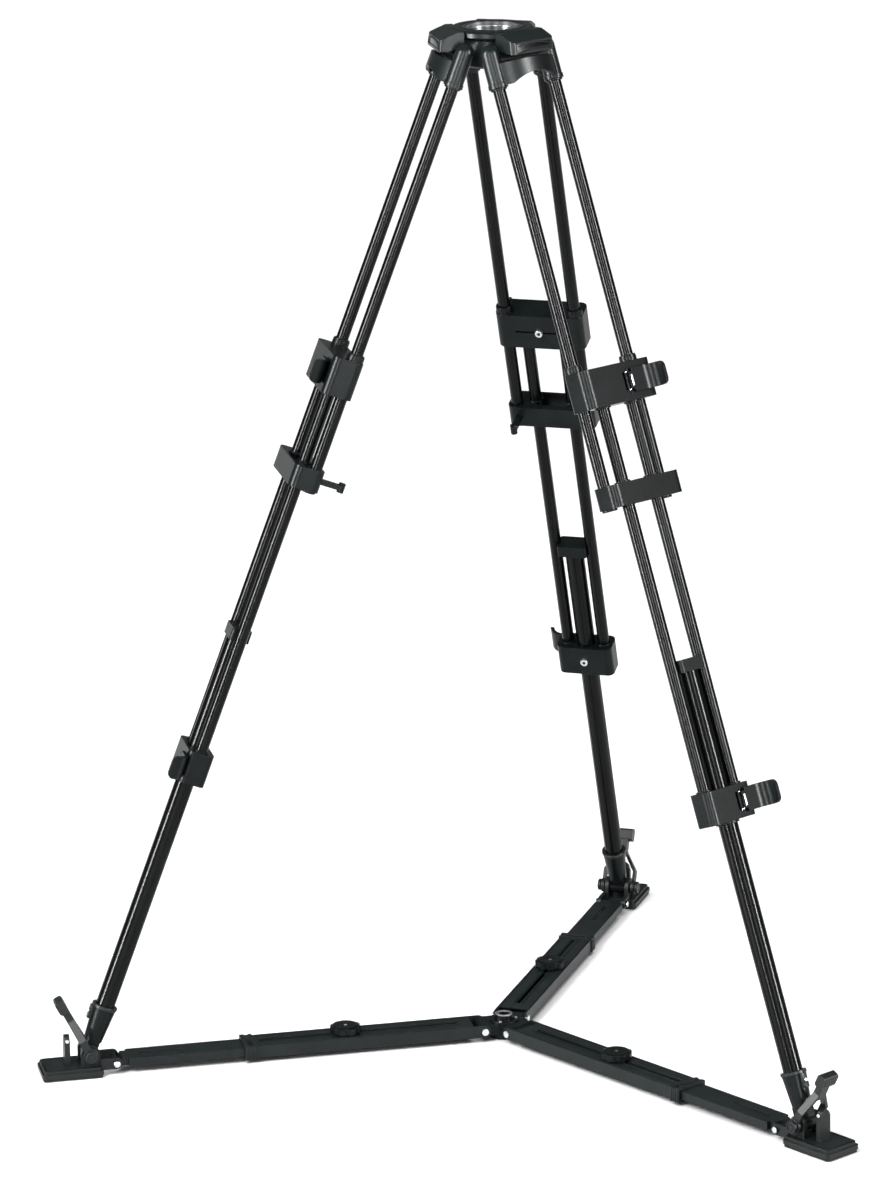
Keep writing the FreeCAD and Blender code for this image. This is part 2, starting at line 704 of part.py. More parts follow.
def make_foot_lever(leg):
    """Wishbone on the ankle pin: two arms that meet in a stem with a cross handle. It leans outwards."""
    name = "foot_lever_%d" % leg
    length = size.foot_lever_length
    thickness = 4.5
    gap = 21.5
    fork_gap = Dim(gap, str(gap))
    arm_depth = 11.0
    bend_start = 24.0
    stem_base = 56.0
    stem_half = 7.5
    parts = [block(name + "_stem", (-stem_half, -arm_depth / 2, stem_base - 8),
                   (stem_half, arm_depth / 2, length - 10))]
    for label, side in (("right", 1), ("left", -1)):
        parts.append(pad("%s_arm_%s" % (name, label), "XZ_Plane", (
            (side * gap, 0),
            (side * (gap + thickness), 0),
            (side * (gap + thickness), bend_start + 2),
            (side * stem_half, stem_base),
            (side * (stem_half - 5.5), stem_base),
            (side * gap, bend_start),
        ), arm_depth))
    parts += both_sides(name + "_eye", fork_gap, thickness, lambda label, start: rod(
        label, size.ankle_eye_radius, thickness, (start, 0, 0), "x"))
    handle = block(name + "_handle_block", (-14, -6, length - 16), (14, 8, length + 4))
    parts.append(round_edges(name + "_handle", handle, 4.0, runs_along("x")))
    bore = rod(name + "_bore", size.ankle_pin_radius + size.pin_gap, 60, (-30, 0, 0), "x")
    lean = FreeCAD.Placement(FreeCAD.Vector(0, float(ankle_radius), float(ankle_height)),
                             turn("x", -float(size.foot_lever_lean)))
    keep(cut(name, fuse(name + "_solid", *parts), bore), "foot_%d_lever" % leg, arm_frame(leg).multiply(lean))


# ---------------------------------------------------------------- ground spreader

def make_hub():
    height = size.arm_pin_height
    radius = size.tang_radius
    tang_half = size.arm_half_width - size.arm_side_wall - size.slider_gap
    core = rod("hub_core", size.hub_radius, size.hub_height, (0, 0, 0))
    ring = rod("hub_ring", size.hub_ring_radius, 7, (0, 0, size.hub_height))
    hole = rod("hub_hole", size.hub_hole_radius, 30, (0, 0, 12))
    tang = block("hub_tang", (-tang_half, 8, height - radius),
                 (tang_half, size.hub_pin_place, height + radius))
    nose = rod("hub_nose", radius, tang_half * 2, (-tang_half, size.hub_pin_place, height), "x")
    drill = rod("hub_drill", size.arm_pin_radius, 60, (-30, size.hub_pin_place, height), "x")
    head = 2.7
    head_start = size.arm_half_width + size.running_gap
    pin = fuse("hub_pin",
               rod("hub_pin_shank", size.arm_pin_radius, head_start * 2 + 1,
                   (-head_start - 0.5, size.hub_pin_place, height), "x"),
               *both_sides("hub_pin_head", head_start, head, lambda label, start: rod(
                   label, size.arm_pin_head, head, (start, size.hub_pin_place, height), "x")))
    solids = [core, ring]
    drills = [hole]
    pins = []
    for leg in LEGS:
        angle = LEG_STEP * (leg - 1)
        solids += [turned("hub_tang_%d" % leg, tang, angle), turned("hub_nose_%d" % leg, nose, angle)]
        drills.append(turned("hub_drill_%d" % leg, drill, angle))
        pins.append(turned("hub_pin_%d" % leg, pin, angle))
    keep(cut("hub", fuse("hub_solid", *solids), *drills), "spreader_hub")
    keep(group("hub_pins", *pins), "hub_hinge_pins")


def make_channel(leg):
    """Outer box section of a spreader arm, with ears that hinge on the hub."""
    name = "channel_%d" % leg
    wide = size.arm_half_width
    low = size.arm_base
    high = size.arm_base + size.arm_height
    side = size.arm_side_wall
    shell = block(name + "_shell", (-wide, size.arm_start, low), (wide, size.arm_end - 1, high))
    collar = block(name + "_collar", (-wide - 1.5, size.arm_end - 18, low - 2),
                   (wide + 1.5, size.arm_end, high + 1.5))
    groove = block(name + "_groove", (-wide - 5, size.arm_end - 13, high + 0.3),
                   (wide + 5, size.arm_end - 7, high + 5))
    parts = [shell, collar]
    parts += both_sides(name + "_ear", wide - side, side, lambda label, start: block(
        label, (start, size.hub_pin_place, low), (start + side, size.arm_start + 2, high)))
    parts += both_sides(name + "_ear_end", wide - side, side, lambda label, start: rod(
        label, size.arm_height / 2, side, (start, size.hub_pin_place, size.arm_pin_height), "x"))
    cavity = block(name + "_cavity", (side - wide, size.arm_start - 5, low + size.arm_wall),
                   (wide - side, size.arm_end + 5, high - size.arm_wall))
    slot = block(name + "_slot", (-size.slot_half_width, size.slot_start, high - 5),
                 (size.slot_half_width, size.slot_end, high + 6))
    bore = rod(name + "_bore", size.arm_pin_radius + size.pin_gap, 60,
               (-30, size.hub_pin_place, size.arm_pin_height), "x")
    keep(cut(name, fuse(name + "_solid", *parts), cavity, slot, bore, groove),
         "arm_%d_channel" % leg, arm_frame(leg))


def make_slider(leg):
    """Inner bar of a spreader arm, with the stud that its knob tightens."""
    name = "slider_%d" % leg
    wide = size.arm_half_width - size.arm_side_wall - size.slider_gap
    low = size.arm_base + size.arm_wall + size.slider_gap
    high = size.arm_base + size.arm_height - size.arm_wall - size.slider_gap
    bar = block(name + "_bar", (-wide, size.slider_start, low), (wide, size.slider_end, high))
    hollow = block(name + "_hollow", (-wide + 2.5, size.slider_start - 1, low + 2),
                   (wide - 2.5, size.slider_end - 12, high - 2))
    groove = block(name + "_groove", (-3, 475, high - 1), (3, 545, high + 5))
    # The tongue's end leans back, so that the foot can lift away along the leg.
    tongue_width = 30.0
    tongue = pad(name + "_tongue", "YZ_Plane", (
        (size.slider_end - 1, low),
        (size.foot_pin_place - 4.2, low),
        (size.foot_pin_place - 8.8, high),
        (size.slider_end - 1, high),
    ), tongue_width)
    stud_block = block(name + "_stud_block", (-8, size.knob_place - 8, low + 1),
                       (8, size.knob_place + 8, high))
    stud = rod(name + "_stud", size.stud_radius, size.knob_base - high + 12, (0, size.knob_place, high - 2))
    body = fuse(name + "_solid", cut(name + "_tube", bar, hollow, groove), tongue, stud_block, stud)
    keep(body, "arm_%d_slider" % leg, arm_frame(leg))


def make_knob(leg):
    """Scalloped hand knob that tightens the slider in its channel."""
    name = "knob_%d" % leg
    base = size.knob_base
    disc = rod(name + "_disc", size.knob_radius, 9, (0, size.knob_place, base))
    crown = taper(name + "_crown", size.knob_radius - 1, size.knob_radius - 5, 2,
                  (0, size.knob_place, base + 9))
    bore = rod(name + "_bore", size.stud_radius + size.pin_gap, 30, (0, size.knob_place, base - 5))
    dish = rod(name + "_dish", 7, 3, (0, size.knob_place, base + 9.5))
    scallops = []
    lobes = 8
    for index in range(lobes):
        angle = 2 * math.pi * index / lobes
        across = (size.knob_radius + 2.5) * math.cos(angle)
        radial = size.knob_place + (size.knob_radius + 2.5) * math.sin(angle)
        scallops.append(rod("%s_scallop_%d" % (name, index), 5, 30, (across, radial, base - 5)))
    keep(cut(name, fuse(name + "_solid", disc, crown), bore, dish, *scallops),
         "arm_%d_knob" % leg, arm_frame(leg))


# ---------------------------------------------------------------- assembly

def make_leg(leg):
    make_yoke(leg)
    keep(tube_pair("upper_tubes_%d" % leg, size.bridge_base, size.upper_tube_top, size.upper_spread,
                   -size.upper_setback), "leg_%d_upper_tubes" % leg, leg_frame(leg))
    make_bridge(leg)
    make_upper_clamp(leg)
    keep(tube_pair("middle_tubes_%d" % leg, size.lower_clamp_base + 4,
                   size.upper_clamp_base + size.upper_clamp_height - 10, size.middle_spread, 0),
         "leg_%d_middle_tubes" % leg, leg_frame(leg))
    make_lower_clamp(leg)
    make_clamp_pins(leg)
    make_lever(leg, "upper_lever", -size.upper_lever_place,
               size.upper_clamp_base + size.upper_clamp_height / 2)
    make_lever(leg, "lower_lever", -size.lower_lever_place,
               size.lower_clamp_base + size.lower_clamp_height / 2)
    make_lower_tube(leg)
    make_slide_cap(leg)
    make_ankle(leg)
    make_foot(leg)
    make_foot_lever(leg)
    make_channel(leg)
    make_slider(leg)
    make_knob(leg)


make_crown()
make_hub()
for leg_number in LEGS:
    make_leg(leg_number)
doc.recompute()

for thing in doc.Objects:
    if "Invalid" in thing.State or "Error" in thing.State:
        raise RuntimeError("%s did not compute: %s" % (thing.Name, thing.State))
for node in nodes:
    if node.Shape.isNull() or not node.Shape.isValid():
        raise RuntimeError("%s has no valid shape" % node.Label)
for node in nodes:
    node.Shape.exportStep("parts/%s.step" % node.Label)
    print("%-26s solids %d  volume %10.1f" % (node.Label, len(node.Shape.Solids), node.Shape.Volume))
print(len(nodes), "nodes")
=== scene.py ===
import math
import bmesh
import bpy
from mathutils import Euler, Matrix, Vector


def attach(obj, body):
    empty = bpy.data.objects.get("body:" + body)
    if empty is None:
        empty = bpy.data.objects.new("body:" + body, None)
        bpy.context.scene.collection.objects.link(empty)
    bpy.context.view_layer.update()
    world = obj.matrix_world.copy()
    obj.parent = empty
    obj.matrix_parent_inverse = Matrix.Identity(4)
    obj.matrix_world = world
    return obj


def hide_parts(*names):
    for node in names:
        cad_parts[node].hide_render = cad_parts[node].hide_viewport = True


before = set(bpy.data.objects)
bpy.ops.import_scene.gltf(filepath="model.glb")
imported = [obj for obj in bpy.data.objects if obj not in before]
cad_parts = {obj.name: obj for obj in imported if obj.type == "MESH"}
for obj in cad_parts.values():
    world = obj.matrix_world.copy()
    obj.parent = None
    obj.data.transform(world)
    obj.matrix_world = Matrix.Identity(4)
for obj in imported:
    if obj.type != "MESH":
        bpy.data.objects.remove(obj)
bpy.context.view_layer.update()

LEGS = (1, 2, 3)
TILT = math.radians(21.0)
FOOT_CIRCLE = 0.630

# Places in millimetres: (x, y) of the tubes in the leg frame, (y, z) of the rest in the arm frame.
OUTER_TUBES = [(x, -12.5) for x in (-53, 53)]
INNER_TUBES = [(x, 0) for x in (-28, 28)]
ANKLE = (617.815, 31.742)
KNOB = 238
FOOT_LEVER_LEAN = math.radians(-27)
HOOD_LEAN = math.radians(6.9)
SIDES = ((1, "x"), (-1, "-x"))


# ------------------------------------------------------------------ materials

class Shader:
    """A small helper that adds nodes to one material and links them."""

    def __init__(self, name):
        self.material = bpy.data.materials.new(name)
        self.material.use_nodes = True
        self.tree = self.material.node_tree
        self.surface = self.tree.nodes["Principled BSDF"]
        self.place = self.tree.nodes.new("ShaderNodeTexCoord").outputs["Object"]

    def add(self, kind, **settings):
        node = self.tree.nodes.new(kind)
        for key, value in settings.items():
            setattr(node, key, value)
        return node

    def link(self, start, end):
        self.tree.links.new(start, end)

    def stretched(self, scale, turned=(0, 0, 0)):
        mapping = self.add("ShaderNodeMapping")
        mapping.inputs["Rotation"].default_value = turned
        mapping.inputs["Scale"].default_value = scale
        self.link(self.place, mapping.inputs["Vector"])
        return mapping.outputs["Vector"]

    def noise(self, scale, detail=4.0, place=None):
        node = self.add("ShaderNodeTexNoise")
        node.inputs["Scale"].default_value = scale
        node.inputs["Detail"].default_value = detail
        self.link(place or self.place, node.inputs["Vector"])
        return node.outputs["Fac"]

    def spread(self, fac, low, high):
        node = self.add("ShaderNodeMapRange")
        node.inputs["From Min"].default_value = 0.3
        node.inputs["From Max"].default_value = 0.7
        node.inputs["To Min"].default_value = low
        node.inputs["To Max"].default_value = high
        self.link(fac, node.inputs["Value"])
        return node.outputs["Result"]

    def mix(self, fac, first, second):
        node = self.add("ShaderNodeMix", data_type="RGBA")
        node.inputs["A"].default_value = (*first, 1)
        node.inputs["B"].default_value = (*second, 1)
        self.link(fac, node.inputs["Factor"])
        return node.outputs["Result"]

    def band(self, middle, reach, colour):
        """Keeps the metal bare in one band of heights and paints it black above and below."""
        split = self.add("ShaderNodeSeparateXYZ")
        self.link(self.place, split.inputs["Vector"])
        inside = self.add("ShaderNodeMath", operation="COMPARE")
        inside.inputs[1].default_value = middle
        inside.inputs[2].default_value = reach
        self.link(split.outputs["Z"], inside.inputs[0])
        self.link(inside.outputs["Value"], self.surface.inputs["Metallic"])
        painted = self.add("ShaderNodeMix", data_type="RGBA")
        painted.inputs["A"].default_value = (0.012, 0.016, 0.017, 1)
        self.link(inside.outputs["Value"], painted.inputs["Factor"])
        self.link(colour, painted.inputs["B"])
        return painted.outputs["Result"]

    def bump(self, fac, strength, distance, edge=0.0):
        node = self.add("ShaderNodeBump")
        node.inputs["Strength"].default_value = strength
        node.inputs["Distance"].default_value = distance
        self.link(fac, node.inputs["Height"])
        if edge:
            soft = self.add("ShaderNodeBevel", samples=4)
            soft.inputs["Radius"].default_value = edge
            self.link(soft.outputs["Normal"], node.inputs["Normal"])
        self.link(node.outputs["Normal"], self.surface.inputs["Normal"])


def finish(name, dark, light, rough, metallic=0.0, grain=900.0, patch=30.0, relief=0.2,
           depth=0.0002, edge=0.0, stretch=None, turned=(0, 0, 0), specular=0.5, band=None):
    """A worn, slightly uneven finish: two tones in patches, grain in roughness and relief."""
    shader = Shader(name)
    place = shader.stretched(stretch, turned) if stretch else shader.place
    patches = shader.noise(patch, 3.0)
    fine = shader.noise(grain, 6.0, place)
    colour = shader.mix(shader.spread(patches, 0.0, 1.0), dark, light)
    shader.surface.inputs["Metallic"].default_value = metallic
    if band:
        colour = shader.band(*band, colour)
    shader.link(colour, shader.surface.inputs["Base Color"])
    shader.link(shader.spread(fine, *rough), shader.surface.inputs["Roughness"])
    shader.surface.inputs["Specular IOR Level"].default_value = specular
    shader.bump(fine, relief, depth, edge)
    return shader.material


def leg_turn(leg):
    """Rotation that brings a leg's own directions onto the world's, for stretched grain."""
    around = math.radians(120 * (leg - 1))
    leaning = Matrix.Rotation(around, 3, "Z") @ Matrix.Rotation(TILT, 3, "X")
    return leaning.inverted().to_euler("XYZ")


tube = {leg: finish("black_anodised_%d" % leg, (0.0016, 0.0019, 0.0020), (0.0030, 0.0036, 0.0038),
                    (0.186, 0.190), grain=260.0, relief=0.0, depth=0.00003, stretch=(8, 8, 0.15),
                    turned=leg_turn(leg), specular=0.10) for leg in LEGS}
casting = finish("black_casting", (0.0050, 0.0080, 0.0084), (0.0085, 0.0125, 0.0130), (0.26, 0.36),
                 grain=1400.0, relief=0.25, edge=0.0012, specular=0.14)
plastic = finish("black_plastic", (0.0025, 0.0042, 0.0044), (0.0050, 0.0076, 0.0080), (0.24, 0.34),
                 grain=1600.0, relief=0.22, edge=0.0008, specular=0.10)
arm_black = finish("arm_black", (0.0055, 0.0085, 0.0090), (0.0090, 0.0130, 0.0136), (0.32, 0.44),
                   grain=1300.0, relief=0.22, edge=0.0006, specular=0.14)
grey = finish("grey_plastic", (0.0085, 0.0110, 0.0112), (0.0150, 0.0180, 0.0182), (0.30, 0.42),
              grain=1500.0, relief=0.25, edge=0.0008, specular=0.16)
plate = finish("foot_plate", (0.0060, 0.0085, 0.0086), (0.0120, 0.0150, 0.0150), (0.32, 0.45),
               grain=1500.0, relief=0.30, edge=0.0008, specular=0.16)
bright = finish("machined_aluminium", (0.17, 0.18, 0.18), (0.26, 0.27, 0.27), (0.24, 0.32), metallic=1.0,
                grain=2200.0, relief=0.05, depth=0.00003, stretch=(1, 1, 12), edge=0.0004,
                band=(1.4964, 0.0031))
steel = finish("plain_steel", (0.42, 0.43, 0.44), (0.60, 0.61, 0.62), (0.22, 0.38), metallic=1.0,
               grain=1800.0, relief=0.15, depth=0.0001, edge=0.0003)
gloss = finish("gloss_black", (0.0015, 0.0015, 0.0017), (0.0028, 0.0028, 0.0030), (0.12, 0.2), grain=900.0,
               relief=0.08, depth=0.0001, specular=0.3)
rubber = finish("sole_rubber", (0.0045, 0.0045, 0.0045), (0.0085, 0.0085, 0.0083), (0.75, 0.92),
                grain=1100.0, relief=0.55, edge=0.0008, specular=0.2)


FINISHES = (
    ("_upper_tubes", None), ("_middle_tubes", None), ("_lower_tube", None),
    ("crown_casting", casting), ("_yoke", casting), ("bowl_seat", bright),
    ("hinge_pins", steel), ("clamp_pins", steel), ("_pad", rubber), ("_base", plate),
    ("foot_1_lever", grey), ("foot_2_lever", grey), ("foot_3_lever", grey),
    ("_lever", plastic), ("_channel", arm_black), ("_slider", arm_black), ("", plastic),
)


def paint(node, material):
    node.data.materials.clear()
    node.data.materials.append(material)


for name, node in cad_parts.items():
    for ending, material in FINISHES:
        if name.endswith(ending):
            paint(node, material or tube[int(name.split("_")[1])])
            break


# ------------------------------------------------------------------ detail pieces

def leg_place(leg):
    """Leg frame to world: X across, Y outwards square to the leg, Z up along it."""
    tilted = Matrix.Translation((0, FOOT_CIRCLE, 0)) @ Matrix.Rotation(TILT, 4, "X")
    return arm_place(leg) @ tilted


def arm_place(leg):
    """Arm frame to world: X across, Y radial, Z up."""
    return Matrix.Rotation(math.radians(120 * (leg - 1)), 4, "Z")


def facing(axis):
    """Turns a shape made along +Z so that it runs along another axis."""
    turns = {"z": Euler((0, 0, 0)), "y": Euler((-math.pi / 2, 0, 0)), "-y": Euler((math.pi / 2, 0, 0)),
             "x": Euler((0, math.pi / 2, 0)), "-x": Euler((0, -math.pi / 2, 0))}
    return turns[axis].to_matrix().to_4x4()


def lathe(shape, profile, at=(0, 0, 0), axis="z", steps=48):
    """Adds a turned solid to a bmesh; the profile is a closed loop of (radius, height) in millimetres."""
    move = Matrix.Translation(Vector(at) / 1000) @ facing(axis)
    rings = []
    for radius, height in profile:
        ring = []
        for i in range(steps):
            angle = 2 * math.pi * i / steps
            point = Vector((radius * math.cos(angle), radius * math.sin(angle), height)) / 1000
            ring.append(shape.verts.new(move @ point))
        rings.append(ring)
    for low, high in zip(rings, rings[1:] + rings[:1]):
        for i in range(steps):
            j = (i + 1) % steps
            shape.faces.new((low[i], low[j], high[j], high[i]))


def disc(shape, radius, height, at=(0, 0, 0), axis="z", edge=0.4, steps=40):
    """Adds a solid disc with a bevelled rim."""
    hub = 0.01
    lathe(shape, ((hub, 0), (radius, 0), (radius, height - edge), (radius - edge, height), (hub, height)),
          at, axis, steps)


def bar(shape, low, high, edge=0.5):
    """Adds a box with bevelled edges, between two corners in millimetres."""
    size = [(b - a) / 1000 for a, b in zip(low, high)]
    centre = [(b + a) / 2000 for a, b in zip(low, high)]
    place = Matrix.Translation(centre) @ Matrix.Diagonal((*size, 1))
    made = bmesh.ops.create_cube(shape, size=1.0, matrix=place)
    edges = list({e for v in made["verts"] for e in v.link_edges})
    bmesh.ops.bevel(shape, geom=edges, offset=edge / 1000, segments=2, affect="EDGES", profile=0.6)


def piece(name, body, material, place, build):
    """Makes one visual piece from what build() draws, in the given frame."""
    shape = bmesh.new()
    build(shape)
    bmesh.ops.recalc_face_normals(shape, faces=shape.faces)
    mesh = bpy.data.meshes.new(name)
    shape.to_mesh(mesh)
    shape.free()
    mesh.transform(place)
    for face in mesh.polygons:
        face.use_smooth = True
    mesh.set_sharp_from_angle(angle=math.radians(35))
    mesh.materials.append(material)
    made = bpy.data.objects.new(name, mesh)
    bpy.context.scene.collection.objects.link(made)
    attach(made, body)
    return made


def ring_profile(inner, outer, low, high, edge=0.4):
    """Section of a ring with its two outer corners cut off."""
    return ((inner, low), (outer - edge, low), (outer, low + edge),
            (outer, high - edge), (outer - edge, high), (inner, high))


def arch_frame(shape, steps=24):
    """A raised frame on a hood's sloping face, arched above the plain panel."""

    def spot(across, height, lift):
        return shape.verts.new(Vector((across, 85.5 - 0.1212 * (height - 1472.5) + lift, height)) / 1000)

    inner, outer = [], []
    for i in range(steps + 1):
        share = 2 * i / steps - 1
        inner.append((30.0 * share, 1482.0 + 3.6 * (1 - share * share)))
        outer.append((32.4 * share, 1484.4 + 3.2 * (1 - share * share)))
    for i in range(steps + 1):
        share = 1 - 2 * i / steps
        inner.append((30.0 * share, 1476.0 + 1.2 * (1 - share * share)))
        outer.append((32.4 * share, 1474.2 + 0.8 * (1 - share * share)))
    loops = [[spot(*point, lift) for point in line] for line, lift in
             ((outer, -0.6), (outer, 0.7), (inner, 1.3), (inner, -0.6))]
    for near, far in zip(loops, loops[1:] + loops[:1]):
        for i in range(len(near)):
            j = (i + 1) % len(near)
            shape.faces.new((near[i], near[j], far[j], far[i]))


def crown_details():
    """Plain plates in the hoods' recesses and a thin trim line around the bowl."""
    piece("crown_trim_ring", "crown", plastic, Matrix(), lambda shape: lathe(
        shape, ring_profile(44.4, 46.6, 1499.9, 1500.6, 0.3), steps=96))
    for leg in LEGS:
        lean = Matrix.Translation((0, 0.0847, 1.4808)) @ Matrix.Rotation(HOOD_LEAN, 4, "X")
        piece("hood_plate_%d" % leg, "crown", gloss, arm_place(leg) @ lean,
              lambda shape: bar(shape, (-32, -1.2, -5.6), (32, 0.15, 5.6), 0.25))
        piece("hood_frame_%d" % leg, "crown", casting, arm_place(leg), arch_frame)


def tube_skins(leg):
    """Round, smoothly shaded tubes for both upper stages."""
    stages = (("upper", OUTER_TUBES, 927.0, 1560.0), ("middle", INNER_TUBES, 470.0, 1112.0))
    for stage, places, base, top in stages:

        def pair(shape):
            for across, normal in places:
                lathe(shape, ring_profile(7.5, 9.0, base, top, 0.3), (across, normal, 0), steps=72)

        skin = piece("leg_%d_%s_tube_skin" % (leg, stage), "leg_%d_%s" % (leg, stage),
                     tube[leg], leg_place(leg), pair)
        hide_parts("leg_%d_%s_tubes" % (leg, stage))


def tube_trims(leg):
    """Wiper rings and end caps where the tubes enter their fittings."""
    upper, middle = "leg_%d_upper" % leg, "leg_%d_middle" % leg
    groups = (
        ("yoke_rings", upper, OUTER_TUBES, 9.05, 11.6, 1529.4, 1532.1),
        ("bridge_bushes", upper, INNER_TUBES, 9.35, 11.4, 958.9, 961.2),
        ("clamp_wipers", middle, OUTER_TUBES, 9.35, 11.9, 1129.9, 1132.2),
        ("clamp_skirts", middle, INNER_TUBES, 9.05, 11.4, 1064.6, 1067.1),
        ("lower_skirts", middle, INNER_TUBES, 9.05, 11.4, 513.9, 516.4),
        ("lower_wiper", middle, [(0, 0)], 14.35, 17.2, 462.8, 466.1),
    )
    for label, body, places, inner, outer, low, high in groups:

        def rings(shape):
            for across, normal in places:
                lathe(shape, ring_profile(inner, outer, low, high), (across, normal, 0))

        piece("leg_%d_%s" % (leg, label), body, plastic, leg_place(leg), rings)

    def caps(shape):
        for across, normal in OUTER_TUBES:
            disc(shape, 11.0, 3.2, (across, normal, 927.1), "z", edge=0.8)

    turned_down = Matrix.Translation((0, 0, 1.8542)) @ Matrix.Diagonal((1, 1, -1, 1))
    piece("leg_%d_end_caps" % leg, upper, plastic, leg_place(leg) @ turned_down, caps)


def clamp_details(leg):
    """Painted shade for the bolts' hex sockets, as raised gloss-black hexes standing in for the dark
    recesses, and the bright latch plates on the levers.
    """
    place = leg_place(leg)
    for label, middle, face, across in (("upper", 1094.5, 26.0, -15.0), ("lower", 490.0, 19.5, -19.0)):
        # Painted shade: this gloss-black hex disc sits proud on the bolt head and stands in for the shade
        # inside the socket's recess.
        piece("leg_%d_%s_bolt_socket" % (leg, label), "leg_%d_middle" % leg, gloss, place,
              lambda shape: disc(shape, 2.7, 0.5, (0, -face - 3.9, middle), "-y", 0.1, 6))
        lever = "leg_%d_%s_lever_body" % (leg, label)
        left, right = across - 3.4, across - 0.4
        piece("leg_%d_%s_latch" % (leg, label), lever, steel, place,
              lambda shape: bar(shape, (left, 25.3, middle - 8), (right, 25.9, middle + 8), 0.2))


def ankle_details(leg):
    """Rim, side ear and ear bolt of the ankle's cup."""
    body, place = "leg_%d_lower" % leg, leg_place(leg)

    def rim(shape):
        lathe(shape, ring_profile(14.1, 18.9, 102.5, 107.6, 0.8), (0, 0, 0))
        bar(shape, (-5, 14, 82), (5, 20.6, 103), 1.2)

    piece("leg_%d_ankle_rim" % leg, body, grey, place, rim)
    piece("leg_%d_ankle_bolt" % leg, body, steel, place, lambda shape: disc(
        shape, 2.6, 1.6, (0, 20.3, 93), "y", 0.4, 24))


def foot_details(leg):
    """Bright pin caps, ankle bosses and the raised border of the foot plate."""
    place, body = arm_place(leg), "foot_%d" % leg

    def pin_caps(shape):
        for side, axis in SIDES:
            disc(shape, 4.6, 1.2, (side * 24.9, 580, 16), axis, 0.6)
            disc(shape, 2.6, 1.0, (side * 9.9, 650, 52), axis, 0.3)

    def bosses(shape):
        for side, axis in SIDES:
            lathe(shape, ring_profile(6.2, 8.8, 0, 0.9, 0.3), (side * 31.4, *ANKLE), axis)
            disc(shape, 4.4, 0.7, (side * 31.4, *ANKLE), axis, 0.2, 6)

    def border(shape):
        for side in (-1, 1):
            edges = sorted((side * 28.6, side * 26.4))
            bar(shape, (edges[0], 610, 14.9), (edges[1], 682, 15.7), 0.3)
        bar(shape, (-26, 682.5, 14.9), (26, 684.7, 15.7), 0.3)

    piece("foot_%d_pin_caps" % leg, body, steel, place, pin_caps)
    piece("foot_%d_bosses" % leg, body, grey, place, bosses)
    piece("foot_%d_border" % leg, body, plastic, place, border)
    ankle = Matrix.Translation(Vector((0, *ANKLE)) / 1000)
    lean = ankle @ Matrix.Rotation(FOOT_LEVER_LEAN, 4, "X")

    def grip(shape):
        for row in range(4):
            bar(shape, (-11, 7.6, 75 + 4 * row), (11, 8.5, 76.8 + 4 * row), 0.3)
        for side, axis in SIDES:
            lathe(shape, ring_profile(8.2, 10.4, 0, 0.8, 0.3), (side * 25.9, 0, 0), axis)

    lever = "foot_%d_lever_body" % leg
    piece("foot_%d_lever_grip" % leg, lever, grey, place @ lean, grip)


def arm_details(leg):
    """Rails beside the slot, grip ribs on the collar, the slider's inlay and the knob's cap."""
    place = arm_place(leg)

    def rails(shape):
        for side in (-1, 1):
            for near, far, low, high in ((5.2, 6.6, 68, 371), (21.4, 22.8, 54, 371)):
                edges = sorted((side * near, side * far))
                bar(shape, (edges[0], low, 24.9), (edges[1], high, 25.8), 0.3)
            for row in range(4):
                edges = sorted((side * 26.4, side * 27.1))
                bar(shape, (edges[0], 376 + 4 * row, 7), (edges[1], 378 + 4 * row, 24), 0.25)

    # Painted shade: a thin gloss-black bar on top of the collar stands in for the shade inside its slot.
    piece("arm_%d_collar_slot_shade" % leg, "arm_%d_inner" % leg, gloss, place,
          lambda shape: bar(shape, (-18, 379.5, 26.2), (18, 386, 26.8), 0.2))
    piece("arm_%d_rails" % leg, "arm_%d_inner" % leg, arm_black, place, rails)
    piece("arm_%d_inlay" % leg, "arm_%d_outer" % leg, gloss, place,
          lambda shape: bar(shape, (-2.7, 476, 20.9), (2.7, 544, 21.5), 0.2))
    piece("arm_%d_knob_ring" % leg, "arm_%d_knob_body" % leg, plastic, place,
          lambda shape: lathe(shape, ring_profile(3.6, 6.7, 36.4, 37.7), (0, KNOB, 0)))
    piece("arm_%d_knob_stud" % leg, "arm_%d_outer" % leg, steel, place, lambda shape: disc(
        shape, 2.4, 0.7, (0, KNOB, 36.9), "z", 0.3))


def hub_details():
    """Bright ring nut and three screws on the hub."""

    def screws(shape):
        for leg in LEGS:
            angle = math.radians(120 * leg + 30)
            disc(shape, 2.3, 1.1, (17.8 * math.cos(angle), 17.8 * math.sin(angle), 25.9), "z", 0.4, 24)

    piece("hub_ring_nut", "hub", steel, Matrix(), lambda shape: lathe(
        shape, ring_profile(8.6, 12.6, 32.9, 34.4, 0.5)))
    piece("hub_screws", "hub", steel, Matrix(), screws)


crown_details()
hub_details()
for leg_number in LEGS:
    tube_skins(leg_number)
    tube_trims(leg_number)
    clamp_details(leg_number)
    ankle_details(leg_number)
    foot_details(leg_number)
    arm_details(leg_number)


# ------------------------------------------------------------------ floor and light

def stage_material():
    shader = Shader("studio_floor")
    fine = shader.noise(40.0, 2.0)
    shader.link(shader.mix(shader.spread(fine, 0.0, 1.0), (0.93, 0.93, 0.93), (0.96, 0.96, 0.96)),
                shader.surface.inputs["Base Color"])
    shader.surface.inputs["Roughness"].default_value = 0.9
    return shader.material


def add_floor():
    mesh = bpy.data.meshes.new("studio_floor")
    reach = 30.0
    corners = [(-reach, -reach, 0), (reach, -reach, 0), (reach, reach, 0), (-reach, reach, 0)]
    mesh.from_pydata([(x, y, -0.0008) for x, y, z in corners], [], [(0, 1, 2, 3)])
    floor = bpy.data.objects.new("studio_floor", mesh)
    bpy.context.scene.collection.objects.link(floor)
    mesh.materials.append(stage_material())


